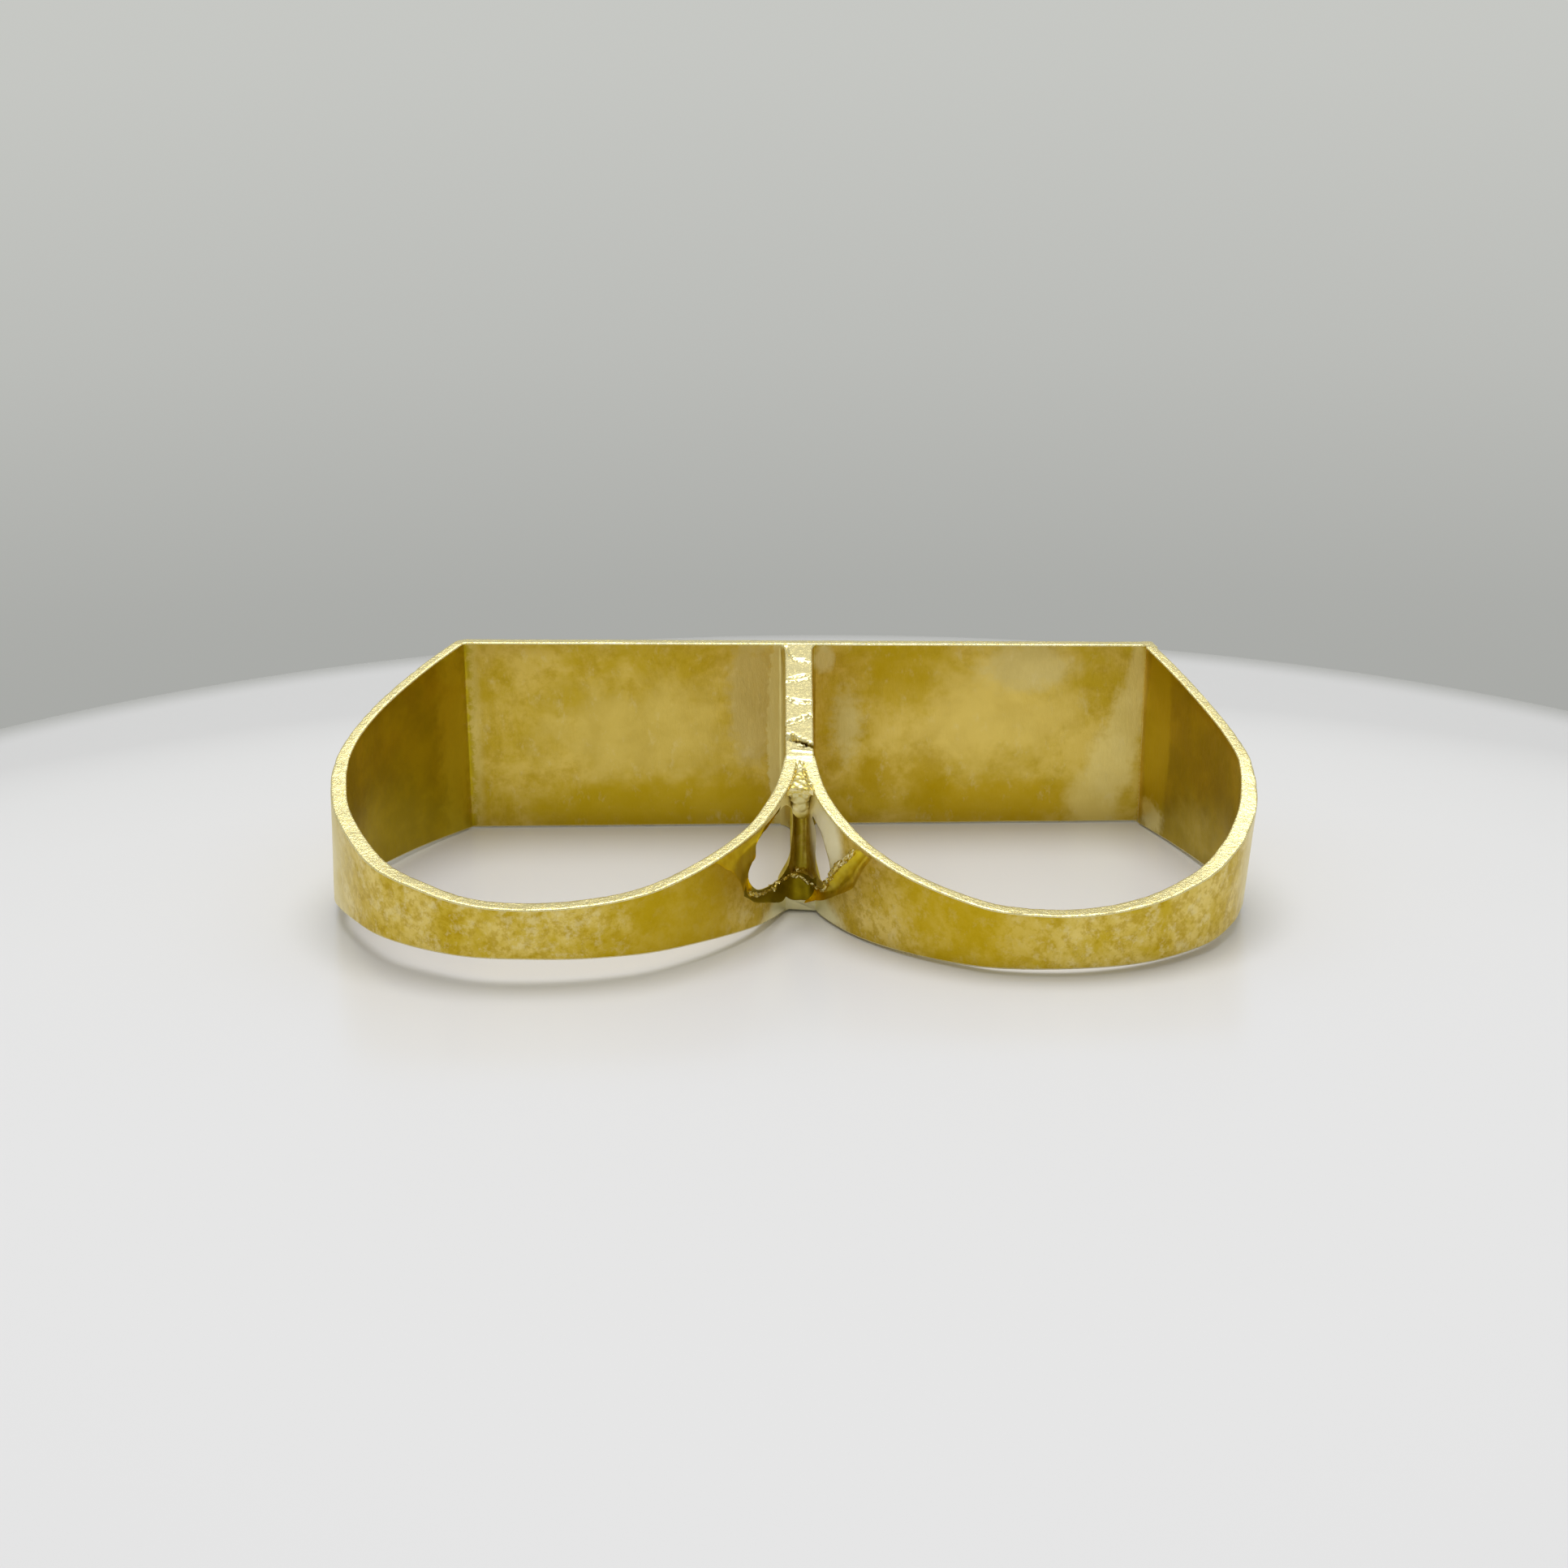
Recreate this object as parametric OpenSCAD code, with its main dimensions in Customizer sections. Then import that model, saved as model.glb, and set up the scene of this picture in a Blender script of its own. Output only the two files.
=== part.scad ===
// Two finger ring of soldered sheet metal: a straight front plate, two side
// panels, a divider between the fingers and two tapered shanks.
// Ring axes: x across the fingers, y from the palm (minus) to the plate (zero),
// z along the fingers with zero at mid height of the plate.

/* [Front plate] */
// Inner width of the plate between its two folds
plate_w = 29; // [26:0.5:32]
// Height of the plate at its left fold
plate_h_left = 8.8; // [7.5:0.1:10]
// Height of the plate at its right fold
plate_h_right = 8.4; // [7.5:0.1:10]
// Thickness of the plate
plate_t = 0.45; // [0.4:0.05:0.8]

/* [Side panels] */
// Thickness of the panels
panel_t = 0.45; // [0.35:0.05:0.8]
// How early the left panel bends back, 1 is straight
left_bow = 1.6; // [1:0.05:2]
// How early the right panel bends back, 1 is straight
right_bow = 1.3; // [1:0.05:2]

/* [Finger holes] */
// Outer reach of the left shank from the middle of the divider
left_reach = 18.9; // [17.5:0.1:21]
// Outer reach of the right shank from the middle of the divider
right_reach = 18.4; // [17.5:0.1:21]
// Outer depth of the left shank from the plate to the palm
left_depth = 19; // [18:0.1:21]
// Outer depth of the right shank from the plate to the palm
right_depth = 18.6; // [17.8:0.1:21]

/* [Divider] */
// Thickness of the divider bar
divider_t = 1.15; // [0.9:0.05:1.6]
// Middle of the divider to the right of the middle of the plate
divider_x = -0.38; // [-1:0.01:1]
// Length of the divider from the plate
divider_l = 9.3; // [8.8:0.1:9.8]

/* [Rest on the table] */
// Tip of the ring towards the palm when it lies on its side
rest_tilt = 7.35; // [6.5:0.05:8]
// Roll of the ring towards its right end
rest_roll = 0.4; // [0:0.05:0.6]

/* [Hidden] */

gold = "#c9b35a";
pale_gold = "#e8dd9a";
dark_gold = "#a08a2e";

// Columns of a shank table: place across the finger as a share of the reach,
// depth as a share of the shank's depth, height of the top and bottom edge in mm,
// thickness of the wall, and how far the bottom edge sits inside the top edge.
ACROSS = 0;
DEEP = 1;
TOP = 2;
BOTTOM = 3;
WALL = 4;
LEAN = 5;

left_shank = [
    // across, deep, top, bottom, wall, lean
    [0.998, 0.470, 2.83, -2.95, 0.58, -0.15],
    [0.999, 0.530, 2.65, -2.65, 0.64, -0.15],
    [0.983, 0.633, 2.35, -2.05, 0.65, -0.10],
    [0.938, 0.748, 2.03, -1.60, 0.66, 0],
    [0.873, 0.855, 1.74, -1.25, 0.66, 0],
    [0.780, 0.928, 1.54, -1.10, 0.60, 0],
    [0.676, 0.982, 1.36, -0.94, 0.58, 0],
    [0.562, 1.000, 1.30, -0.87, 0.62, 0],
    [0.435, 0.989, 1.34, -0.97, 0.60, 0],
    [0.305, 0.945, 1.49, -1.16, 0.57, 0],
    [0.190, 0.853, 1.76, -1.55, 0.54, 0],
    [0.094, 0.732, 2.08, -2.14, 0.50, 0],
    [0.043, 0.620, 2.37, -2.68, 0.53, 0],
    [0.017, 0.537, 2.60, -2.95, 0.56, 0],
    [0.002, 0.445, 2.86, -3.08, 0.57, 0]
];

right_shank = [
    // across, deep, top, bottom, wall, lean
    [0.995, 0.476, 2.86, -2.85, 0.50, 0.30],
    [0.998, 0.540, 2.60, -2.62, 0.60, 0.35],
    [0.991, 0.623, 2.27, -2.30, 0.70, 0.32],
    [0.972, 0.692, 1.98, -2.05, 0.73, 0.26],
    [0.934, 0.775, 1.63, -1.85, 0.73, 0.10],
    [0.860, 0.872, 1.24, -1.78, 0.70, 0],
    [0.730, 0.961, 0.91, -1.66, 0.66, 0],
    [0.578, 1.000, 0.77, -1.56, 0.60, 0],
    [0.426, 0.988, 0.82, -1.67, 0.55, 0],
    [0.328, 0.944, 0.97, -1.88, 0.50, 0],
    [0.220, 0.868, 1.25, -2.13, 0.46, 0],
    [0.128, 0.774, 1.64, -2.42, 0.50, 0],
    [0.064, 0.674, 2.06, -2.66, 0.54, 0],
    [0.026, 0.575, 2.44, -2.90, 0.54, 0],
    [0.003, 0.455, 2.86, -3.08, 0.57, 0]
];

// Steps between two rows of a shank table
shank_steps = 4;
// Steps along a side panel
panel_steps = 10;
// A face that is fused to another runs this far into it
bite = 0.25;

// The left fold is bent round its centre, the right one is a mitred corner
fold_centre = [-plate_w / 2 - 0.15, -0.15];
fold_r = plate_t - fold_centre.y;
fold_turn = 60;

// Where the outer faces of the panels start
left_fold = fold_centre + fold_r * [-sin(fold_turn), cos(fold_turn)];
right_fold = [plate_w / 2 + 0.45, -0.05];

// The first row of each shank table carries on from its panel
left_joint = shank_point(left_shank[0], -left_reach, left_depth);
right_joint = shank_point(right_shank[0], right_reach, right_depth);

// Solder that fills the notch between the shanks, above and below the windows
notch_y = -8.2;
top_fill_y = -10.8;
top_fill_z = 1.75;
low_fill_y = -10.85;
low_fill_z = -2.53;

// Windows that a burr has cut through both walls of the notch, seen from the palm
left_window = [
    // x, z
    [-0.68, -1.6], [-1.3, -1.45], [-1.85, -1.05], [-2.3, -0.5], [-2.45, 0.2],
    [-2.35, 1.1], [-2.1, 1.75], [-1.6, 1.95], [-1.1, 2.1], [-0.68, 2.15]
];
right_window = [
    // x, z
    [0.24, -1.3], [0.52, -0.9], [0.7, -0.3], [0.78, 0.4], [0.72, 1.1], [0.5, 1.8], [0.24, 2.0]
];
window_from_y = -18;
window_to_y = -9.4;

// Middle of the ring's box once it lies on the table
box_middle = [-0.72, -9.01];
plate_drop = (plate_h_left + plate_h_right) / 4 + 0.03;

// Point of a row on the shank's outer face, with its edges, wall and lean
function shank_point(row, reach, depth) = [
    divider_x + row[ACROSS] * reach,
    -row[DEEP] * depth,
    row[TOP],
    row[BOTTOM],
    row[WALL],
    row[LEAN]
];

// Smooth curve through four neighbouring rows, at t between the middle two
function between(a, b, c, d, t) =
    0.5 * (2 * b + (c - a) * t + (2 * a - 5 * b + 4 * c - d) * pow(t, 2)
        + (3 * b - a - 3 * c + d) * pow(t, 3));

function smooth(rows, steps) =
    let (last = len(rows) - 1)
    concat(
        [for (i = [0 : last - 1], k = [0 : steps - 1])
            between(rows[max(i - 1, 0)], rows[i], rows[i + 1], rows[min(i + 2, last)], k / steps)],
        [rows[last]]
    );

function shank_rows(table, reach, depth) =
    smooth([for (row = table) shank_point(row, reach, depth)], shank_steps);

// A panel leaves the fold fast and bends back until it runs along the shank
function panel_rows(fold, joint, fold_half, bow) =
    [for (i = [0 : panel_steps])
        let (share = i / panel_steps, out = 1 - pow(1 - share, bow))
        [
            fold.x + (joint.x - fold.x) * out,
            fold.y + (joint.y - fold.y) * share,
            fold_half + (joint[TOP] - fold_half) * share,
            -fold_half + (joint[BOTTOM] + fold_half) * share,
            panel_t,
            joint[LEAN] * share
        ]];

// Unit vector in plan from the outer face of row i towards the finger hole
function inward(rows, i, side) =
    let (
        a = rows[max(i - 1, 0)],
        b = rows[min(i + 1, len(rows) - 1)],
        run = [b.x - a.x, b.y - a.y]
    )
    side * [-run.y, run.x] / norm(run);

// Four corners of the wall at a row: outer bottom, outer top, inner top, inner bottom
function section(rows, i, side) =
    let (row = rows[i], n = inward(rows, i, side), foot = row[LEAN] * n)
    [
        [row.x + foot.x, row.y + foot.y, row[BOTTOM]],
        [row.x, row.y, row[TOP]],
        [row.x + row[WALL] * n.x, row.y + row[WALL] * n.y, row[TOP]],
        [row.x + foot.x + row[WALL] * n.x, row.y + foot.y + row[WALL] * n.y, row[BOTTOM]]
    ];

function turned(faces, side) = side > 0 ? faces : [for (f = faces) [f[2], f[1], f[0]]];

// Upright wall along the rows, with the finger hole on the side given by its sign
module wall(rows, side) {
    last = len(rows) - 1;
    corners = [for (i = [0 : last]) each section(rows, i, side)];
    skin = [for (i = [0 : last - 1], k = [0 : 3])
        let (a = 4 * i + k, b = 4 * i + (k + 1) % 4)
        each [[a, b, a + 4], [b, b + 4, a + 4]]];
    start = [[0, 2, 1], [0, 3, 2]];
    end = [for (f = start) [f[2] + 4 * last, f[1] + 4 * last, f[0] + 4 * last]];
    polyhedron(corners, turned(concat(skin, start, end), side), convexity = 6);
}

// Prism that follows the outline in plan between two heights
module upright(outline, low, high) {
    translate([0, 0, low])
        linear_extrude(high - low)
            polygon(outline);
}

module plate() {
    color(gold)
        translate([0, plate_t, 0])
            rotate([90, 0, 0])
                linear_extrude(plate_t)
                    polygon([
                        [-plate_w / 2 - bite, -plate_h_left / 2],
                        [plate_w / 2 + bite, -plate_h_right / 2],
                        [plate_w / 2 + bite, plate_h_right / 2],
                        [-plate_w / 2 - bite, plate_h_left / 2]
                    ]);
}

// The left end of the plate is bent, the right end is mitred and soldered
module folds() {
    left_end = [-plate_w / 2, 0];
    right_end = [plate_w / 2, 0];
    bend = [for (turn = [0 : 12 : fold_turn]) fold_centre + fold_r * [-sin(turn), cos(turn)]];
    color(pale_gold) {
        upright(
            concat([left_end], bend, [left_fold + [-0.2, -0.35], left_end + [-0.1, -0.15]]),
            -plate_h_left / 2,
            plate_h_left / 2
        );
        upright(
            [
                right_end + [-bite, plate_t],
                right_end + [-bite, 0],
                right_end,
                right_end + [0.05, -0.15],
                right_fold + [0.06, -0.15],
                right_fold,
                right_end + [0.35, plate_t]
            ],
            -plate_h_right / 2,
            plate_h_right / 2
        );
    }
}

module panels() {
    color(dark_gold) {
        wall(panel_rows(left_fold, left_joint, plate_h_left / 2, left_bow), 1);
        wall(panel_rows(right_fold, right_joint, plate_h_right / 2, right_bow), -1);
    }
}

module shanks() {
    color(gold) {
        wall(shank_rows(left_shank, -left_reach, left_depth), 1);
        wall(shank_rows(right_shank, right_reach, right_depth), -1);
    }
}

module divider() {
    half_plate = (plate_h_left + plate_h_right) / 4;
    end_top = 2.76;
    end_bottom = -3.05;
    color(pale_gold)
        translate([divider_x - divider_t / 2, 0, 0])
            rotate([90, 0, 90])
                linear_extrude(divider_t)
                    polygon([
                        [bite, -half_plate],
                        [bite, half_plate],
                        [0, half_plate],
                        [-divider_l, end_top],
                        [-divider_l, end_bottom],
                        [0, -half_plate]
                    ]);
}

// Solder in the notch, from its apex out to the given depth
module notch_fill(front_y, low, high) {
    apex = [divider_x, notch_y];
    spread = (notch_y - front_y) * 0.2;
    upright(
        [apex, [divider_x - spread - bite, front_y], [divider_x + spread + bite, front_y]],
        low,
        high
    );
}

module solder() {
    color(pale_gold) {
        notch_fill(top_fill_y, top_fill_z, 2.42);
        notch_fill(low_fill_y, -2.66, low_fill_z);
    }
}

module windows() {
    for (outline = [left_window, right_window])
        translate([0, window_to_y, 0])
            rotate([90, 0, 0])
                linear_extrude(window_to_y - window_from_y)
                    polygon(outline);
}

module ring() {
    translate([-box_middle.x, -box_middle.y, plate_drop * cos(rest_tilt)])
        rotate([rest_tilt, 0, 0])
            rotate([0, rest_roll, 0])
                difference() {
                    union() {
                        plate();
                        folds();
                        panels();
                        shanks();
                        divider();
                        solder();
                    }
                    windows();
                }
}

ring();
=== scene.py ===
"""Looks of the two finger ring: sheet walls with filed edges, the ground notch and aged gold."""

import math

import bmesh
import bpy
import numpy as np
from mathutils import Matrix, Vector, noise


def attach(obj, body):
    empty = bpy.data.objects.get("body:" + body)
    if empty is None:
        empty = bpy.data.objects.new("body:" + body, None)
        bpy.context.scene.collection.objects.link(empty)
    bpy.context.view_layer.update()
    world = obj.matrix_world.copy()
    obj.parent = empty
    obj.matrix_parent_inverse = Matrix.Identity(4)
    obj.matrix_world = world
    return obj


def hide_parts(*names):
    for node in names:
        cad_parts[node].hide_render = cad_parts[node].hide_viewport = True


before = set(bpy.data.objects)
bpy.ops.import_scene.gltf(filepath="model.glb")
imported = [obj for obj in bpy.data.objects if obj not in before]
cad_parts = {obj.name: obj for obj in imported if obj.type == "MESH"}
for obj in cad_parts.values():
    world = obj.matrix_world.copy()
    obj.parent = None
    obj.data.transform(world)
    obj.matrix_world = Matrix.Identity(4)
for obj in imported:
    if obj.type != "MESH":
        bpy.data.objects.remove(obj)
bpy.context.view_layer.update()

# Ring axes in mm: x across the fingers, y from the palm to the plate, z along the fingers
MM = 0.001
PLATE_W = 29.0
PLATE_T = 0.45
PLATE_END = PLATE_W / 2 + 0.3
PANEL_T = 0.45
HALF_LEFT = 4.4
HALF_RIGHT = 4.2
HALF_MIDDLE = (HALF_LEFT + HALF_RIGHT) / 2
LEFT_BOW = 1.6
RIGHT_BOW = 1.3
LEFT_REACH = 18.9
RIGHT_REACH = 18.4
LEFT_DEPTH = 19.0
RIGHT_DEPTH = 18.6
DIVIDER_X = -0.38
DIVIDER_T = 1.15
DIVIDER_L = 9.3
FOLD_CENTRE = (-PLATE_W / 2 - 0.15, -0.15)
FOLD_R = PLATE_T - FOLD_CENTRE[1]
FOLD_TURN = 60
RIGHT_FOLD = (PLATE_W / 2 + 0.45, -0.05)
LEFT_SIDE = 1
RIGHT_SIDE = -1

# How the ring lies on the floor
REST_TILT = 7.35
REST_ROLL = 0.4
REST_PLACE = (0.72, 9.01, 4.33 * math.cos(math.radians(REST_TILT)))

# Rows of each shank from its panel to the notch: across and deep as shares of the shank's
# reach and depth, then top, bottom, wall and lean in mm
LEFT_SHANK = [
    (0.998, 0.470, 2.83, -2.95, 0.58, -0.15),
    (0.999, 0.530, 2.65, -2.65, 0.64, -0.15),
    (0.983, 0.633, 2.35, -2.05, 0.65, -0.10),
    (0.938, 0.748, 2.03, -1.60, 0.66, 0),
    (0.873, 0.855, 1.74, -1.25, 0.66, 0),
    (0.780, 0.928, 1.54, -1.10, 0.60, 0),
    (0.676, 0.982, 1.36, -0.94, 0.58, 0),
    (0.562, 1.000, 1.30, -0.87, 0.62, 0),
    (0.435, 0.989, 1.34, -0.97, 0.60, 0),
    (0.305, 0.945, 1.49, -1.16, 0.57, 0),
    (0.190, 0.853, 1.76, -1.55, 0.54, 0),
    (0.094, 0.732, 2.08, -2.14, 0.50, 0),
    (0.043, 0.620, 2.37, -2.68, 0.53, 0),
    (0.017, 0.537, 2.60, -2.95, 0.56, 0),
    (0.002, 0.445, 2.86, -3.08, 0.57, 0),
]
RIGHT_SHANK = [
    (0.995, 0.476, 2.86, -2.85, 0.50, 0.30),
    (0.998, 0.540, 2.60, -2.62, 0.60, 0.35),
    (0.991, 0.623, 2.27, -2.30, 0.70, 0.32),
    (0.972, 0.692, 1.98, -2.05, 0.73, 0.26),
    (0.934, 0.775, 1.63, -1.85, 0.73, 0.10),
    (0.860, 0.872, 1.24, -1.78, 0.70, 0),
    (0.730, 0.961, 0.91, -1.66, 0.66, 0),
    (0.578, 1.000, 0.77, -1.56, 0.60, 0),
    (0.426, 0.988, 0.82, -1.67, 0.55, 0),
    (0.328, 0.944, 0.97, -1.88, 0.50, 0),
    (0.220, 0.868, 1.25, -2.13, 0.46, 0),
    (0.128, 0.774, 1.64, -2.42, 0.50, 0),
    (0.064, 0.674, 2.06, -2.66, 0.54, 0),
    (0.026, 0.575, 2.44, -2.90, 0.54, 0),
    (0.003, 0.455, 2.86, -3.08, 0.57, 0),
]

# Rows made along the plate, the fold, each panel, and from one row of a shank's table to the next
PLATE_STEPS = 90
FOLD_STEPS = 8
PANEL_STEPS = 44
SHANK_STEPS = 16
# Share of a panel at which its wall starts to swell to the shank's
SWELL_START = 0.75


def smooth_rows(rows, steps):
    """Catmull-Rom curve through the rows."""
    rows = np.array(rows, float)
    last = len(rows) - 1
    made = []
    for i in range(last):
        a, b = rows[max(i - 1, 0)], rows[i]
        c, d = rows[i + 1], rows[min(i + 2, last)]
        for k in range(steps):
            t = k / steps
            made.append(
                0.5
                * (
                    2 * b
                    + (c - a) * t
                    + (2 * a - 5 * b + 4 * c - d) * t**2
                    + (3 * b - a - 3 * c + d) * t**3
                )
            )
    made.append(rows[last])
    return made


def shank_points(table, reach, depth):
    """Rows of a shank in ring axes: x, y, top, bottom, wall, lean."""
    return [
        (DIVIDER_X + across * reach, -deep * depth, top, bottom, wall, lean)
        for across, deep, top, bottom, wall, lean in table
    ]


def panel_rows(fold, joint, half, bow):
    """Rows of a side panel from its fold to the first row of the shank, without that row."""
    made = []
    for i in range(PANEL_STEPS):
        share = i / PANEL_STEPS
        out = 1 - (1 - share) ** bow
        swell = max(0.0, (share - SWELL_START) / (1 - SWELL_START))
        made.append(
            (
                fold[0] + (joint[0] - fold[0]) * out,
                fold[1] + (joint[1] - fold[1]) * share,
                half + (joint[2] - half) * share,
                -half + (joint[3] + half) * share,
                PANEL_T + (joint[4] - PANEL_T) * swell,
                joint[5] * share,
            )
        )
    return made


def plate_rows():
    """Rows of the plate's outer face from its right end to the left fold."""
    made = []
    start, end = PLATE_END, FOLD_CENTRE[0]
    for i in range(PLATE_STEPS):
        x = start + (end - start) * i / PLATE_STEPS
        half = HALF_MIDDLE - (HALF_LEFT - HALF_RIGHT) * x / PLATE_W
        made.append((x, PLATE_T, half, -half, PLATE_T, 0))
    return made


def fold_point(degrees):
    """Point of the left fold's outer face after a turn from the plate."""
    turn = math.radians(degrees)
    return (FOLD_CENTRE[0] - FOLD_R * math.sin(turn), FOLD_CENTRE[1] + FOLD_R * math.cos(turn))


def fold_rows():
    made = []
    for i in range(FOLD_STEPS):
        x, y = fold_point(FOLD_TURN * i / FOLD_STEPS)
        made.append((x, y, HALF_LEFT, -HALF_LEFT, PLATE_T, 0))
    return made


def left_rows():
    """The plate, the left panel and the left shank are one strip."""
    shank = shank_points(LEFT_SHANK, -LEFT_REACH, LEFT_DEPTH)
    return (
        plate_rows()
        + fold_rows()
        + panel_rows(fold_point(FOLD_TURN), shank[0], HALF_LEFT, LEFT_BOW)
        + smooth_rows(shank, SHANK_STEPS)
    )


def right_rows():
    """The right panel and the right shank are one strip."""
    shank = shank_points(RIGHT_SHANK, RIGHT_REACH, RIGHT_DEPTH)
    return panel_rows(RIGHT_FOLD, shank[0], HALF_RIGHT, RIGHT_BOW) + smooth_rows(shank, SHANK_STEPS)


def wobble(x, y, z, scale):
    """Smooth noise from -1 to 1 with bumps about scale mm wide.

    Where a call gives or adds a whole number, that only picks another stretch of the noise.
    """
    return noise.noise(Vector((x / scale, y / scale, z / scale)))


def wave(x, y, z, kind):
    """Noise of a kind that is given as height and width in mm."""
    height, width = kind
    return height * wobble(x, y, z, width)


def new_object(name, points, faces, finish, marks=None):
    """Mesh object in ring axes. marks gives each face its place in the finish list."""
    mesh = bpy.data.meshes.new(name)
    mesh.from_pydata([tuple(p) for p in points], [], faces)
    for f in finish:
        mesh.materials.append(f)
    if marks is not None:
        mesh.polygons.foreach_set("material_index", marks)
    mesh.validate()
    piece = bpy.data.objects.new(name, mesh)
    bpy.context.scene.collection.objects.link(piece)
    return piece


def band(loops, count, turned=False):
    """Quads that join each loop of count points to the next."""
    quads = []
    for i in range(loops - 1):
        for k in range(count):
            a, b = i * count + k, i * count + (k + 1) % count
            quads.append((a, a + count, b + count, b) if turned else (a, b, b + count, a + count))
    return quads


def ends(loops, count, turned=False):
    """The first and the last loop as a face each, facing as the band's quads do."""
    first, last = tuple(range(count))[::-1], tuple(range((loops - 1) * count, loops * count))
    return [first[::-1], last[::-1]] if turned else [first, last]


# Parts of a wall's section, from the outer foot up, over, down and under, and its rounded corners
OUTER, TOP, INNER, UNDER, CORNER = range(5)
# Segments of each side and of each rounded corner
SIDE_STEPS = {OUTER: 14, TOP: 6, INNER: 14, UNDER: 4}
CORNER_STEPS = 3
EDGE_ROUND = 0.07
# Each part's place in the list of finishes: outer, edge, inner
WALL_FINISH = {OUTER: 0, TOP: 1, INNER: 2, UNDER: 1, CORNER: 1}
# Height and width of the unevenness of faces and top edges
FACE_WAVE = (0.018, 2.6)
TOP_WAVE = (0.012, 0.7)
TOP_GRAIN = (0.007, 0.22)
# Nicks along the upper corners: their width, how far each corner moves inwards, and their drop
NICK_WIDTH = 0.3
NICK_OUTER = 0.03
NICK_INNER = -0.012
NICK_DROP = 0.02
# Keeps the uneven walls within the plain ones
FACE_TRIM = 0.012
FOOT_TRIM = 0.02


def wall_section(row):
    """Closed loop of (inwards, height, part) of a wall with rounded edges, from the outer foot."""
    _, _, top, bottom, wall, lean = row
    loop = []
    bottom += FOOT_TRIM
    corners = [(lean, bottom), (0, top), (wall, top), (wall + lean, bottom)]
    for k, steps in SIDE_STEPS.items():
        before, here = Vector(corners[k - 1]), Vector(corners[k])
        after = Vector(corners[(k + 1) % len(corners)])
        a = here + (before - here).normalized() * EDGE_ROUND
        b = here + (after - here).normalized() * EDGE_ROUND
        for i in range(CORNER_STEPS):
            t = i / CORNER_STEPS
            p = a * (1 - t) ** 2 + here * 2 * t * (1 - t) + b * t**2
            loop.append((p.x, p.y, CORNER))
        away = after + (here - after).normalized() * EDGE_ROUND
        for i in range(steps):
            p = b.lerp(away, i / steps)
            loop.append((p.x, p.y, k))
    return loop


def inward(rows, i, side):
    """Direction from a row's outer face into the ring."""
    a = rows[max(i - 1, 0)]
    b = rows[min(i + 1, len(rows) - 1)]
    run = Vector((b[0] - a[0], b[1] - a[1])).normalized()
    return Vector((-run.y, run.x)) * side


def wall_object(name, rows, side, finish):
    """Closed uneven strip along the rows. Its faces take the outer, edge or inner finish."""
    points = []
    parts = [part for _, _, part in wall_section(rows[0])]
    count = len(parts)
    for i, row in enumerate(rows):
        n = inward(rows, i, side)
        middle = row[4] / 2
        for u, z, part in wall_section(row):
            x, y = row[0] + n.x * u, row[1] + n.y * u
            swing = FACE_TRIM + wave(x, y, z, FACE_WAVE)
            if part == TOP:
                z += wave(x, y, z, TOP_WAVE) + wave(x, y, z + 9, TOP_GRAIN)
                swing = FACE_TRIM
            if part == CORNER and z > 0:
                rough = max(0.0, wobble(x, y, z, NICK_WIDTH))
                swing += (NICK_OUTER if u < middle else NICK_INNER) * rough
                z -= NICK_DROP * rough
            points.append((x + n.x * swing, y + n.y * swing, z))
    faces = band(len(rows), count) + ends(len(rows), count)
    if side < 0:
        faces = [face[::-1] for face in faces]
    marks = [WALL_FINISH[part] for part in parts] * (len(rows) - 1) + [WALL_FINISH[CORNER]] * 2
    return new_object(name, points, faces, finish, marks)


def prism(name, outline, low, high, finish):
    """Upright prism with a counterclockwise outline."""
    count = len(outline)
    points = [(x, y, low) for x, y in outline] + [(x, y, high) for x, y in outline]
    faces = ends(2, count) + band(2, count)
    return new_object(name, points, faces, [finish])


def ribbon(name, stations, finish):
    """Closed body lofted through loops of equal length, each counterclockwise seen from its front."""
    count = len(stations[0])
    points = [p for loop in stations for p in loop]
    faces = band(len(stations), count)
    for i, loop in ((0, stations[0]), (len(stations) - 1, stations[-1])):
        middle = np.mean(np.array(loop), axis=0)
        points.append(tuple(middle))
        for k in range(count):
            a, b = i * count + k, i * count + (k + 1) % count
            faces.append((b, a, len(points) - 1) if i == 0 else (a, b, len(points) - 1))
    return new_object(name, points, faces, [finish])


FILED_TOP = 4.3
FILED_SLOPE = 0.1656


def filed_plane(y):
    """Height of the filed top edge at a depth."""
    return FILED_TOP + FILED_SLOPE * min(y, 0.0)


def near(x, y, line):
    """Distance from a point to a line of points."""
    best = math.inf
    p = Vector((x, y))
    for i in range(len(line) - 1):
        a, b = Vector(line[i]), Vector(line[i + 1])
        t = max(0.0, min(1.0, (p - a).dot(b - a) / (b - a).length_squared))
        best = min(best, (p - a - (b - a) * t).length)
    return best


# File cuts across the top of the divider: line, depth in mm, half width in mm
FILE_CUTS = [
    ([(-0.9, -0.2), (-0.76, -0.9), (-0.45, -1.32), (0.2, -1.5)], 0.06, 0.05),
    ([(-0.5, -1.18), (-0.15, -1.2)], 0.05, 0.06),
    ([(-0.9, -2.97), (-0.45, -2.88), (0.03, -2.7), (0.22, -2.5)], 0.06, 0.05),
    ([(-0.7, -2.66), (-0.15, -2.4)], 0.06, 0.06),
    ([(-0.9, -4.15), (-0.65, -4.52), (-0.42, -4.64), (0.2, -4.6)], 0.06, 0.05),
    ([(-0.62, -4.3), (-0.3, -4.42), (0.05, -4.42)], 0.08, 0.07),
    ([(-0.92, -6.1), (-0.45, -5.85), (0.1, -5.5)], 0.12, 0.10),
    ([(-0.98, -7.05), (-0.6, -7.30), (-0.3, -7.40)], 0.45, 0.09),
    ([(-0.7, -7.00), (-0.39, -7.36), (0.25, -7.75)], 0.50, 0.09),
    ([(-0.3, -7.78), (0.25, -7.62)], 0.35, 0.06),
]
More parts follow.
